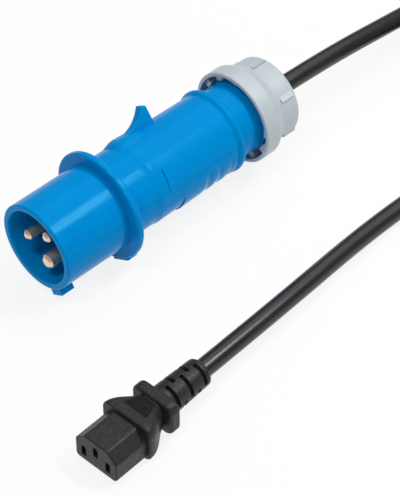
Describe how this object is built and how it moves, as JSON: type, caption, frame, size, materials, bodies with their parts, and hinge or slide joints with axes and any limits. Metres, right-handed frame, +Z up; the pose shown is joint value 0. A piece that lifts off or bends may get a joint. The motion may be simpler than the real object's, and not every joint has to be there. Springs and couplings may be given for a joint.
{
  "type": "power cord",
  "caption": "Flexible power cord with a blue round pin-and-sleeve industrial plug on one end and a black moulded appliance connector on the other, its spare length coiled and strapped.",
  "frame": {"origin": "on the floor, at the centre of the box round the plug and the connector, without the cord", "axes": "+X along the plug's axis from its pins to its cable, +Z up, +Y from the connector towards the plug"},
  "size_m": [0.4121, 0.1417, 0.0552],
  "materials": {
    "blue_plastic": "satin",
    "grey_plastic": "satin",
    "dark_insulator": "matt",
    "brass": "polished",
    "screw_steel": "zinc plated",
    "seal_rubber": "matt",
    "claw_plastic": "matt",
    "black_moulding": "fine grain",
    "contact_alloy": "plain",
    "brown_insulation": "plain",
    "blue_insulation": "plain",
    "green_yellow_insulation": "green with a yellow stripe",
    "cord_sheath": "smooth",
    "strap": "woven"
  },
  "bodies": {
    "root": {"front_housing": "blue_plastic", "pin_carrier": "dark_insulator", "live_pin": "brass", "neutral_pin": "brass", "earth_pin": "brass", "terminal_screws": "screw_steel", "plug_live_core": "brown_insulation", "plug_neutral_core": "blue_insulation", "plug_earth_core": "green_yellow_insulation", "handle_shell": "blue_plastic", "cable_seal": "seal_rubber", "clamp_claw": "claw_plastic", "gland_nut": "grey_plastic", "connector_moulding": "black_moulding", "contact_carrier": "dark_insulator", "live_contact": "contact_alloy", "neutral_contact": "contact_alloy", "earth_contact": "contact_alloy", "connector_live_core": "brown_insulation", "connector_neutral_core": "blue_insulation", "connector_earth_core": "green_yellow_insulation", "cord_plug_run": "cord_sheath", "cord_coil": "cord_sheath", "cord_connector_run": "cord_sheath", "coil_tie": "strap"}
  },
  "joints": []
}
